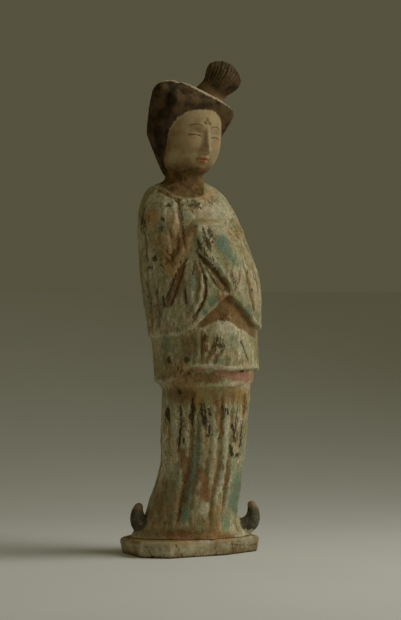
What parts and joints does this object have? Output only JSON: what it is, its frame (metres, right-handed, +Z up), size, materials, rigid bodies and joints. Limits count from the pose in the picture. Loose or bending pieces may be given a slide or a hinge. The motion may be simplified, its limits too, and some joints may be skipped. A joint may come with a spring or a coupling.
{
  "type": "terracotta figure",
  "caption": "Standing court lady in painted terracotta, hands folded inside long sleeves, with a fan-shaped topknot and upturned shoes, on a thin slab with cut corners.",
  "frame": {"origin": "middle of the slab's underside", "axes": "+Z up, the figure looks along -Y, its left side is +X"},
  "size_m": [0.126, 0.1116, 0.4501],
  "materials": {
    "painted_clay": "fired clay with worn slip and paint",
    "slipped_clay": "fired clay with pale slip"
  },
  "bodies": {
    "root": {"figure": "painted_clay", "plinth": "slipped_clay"}
  },
  "joints": []
}
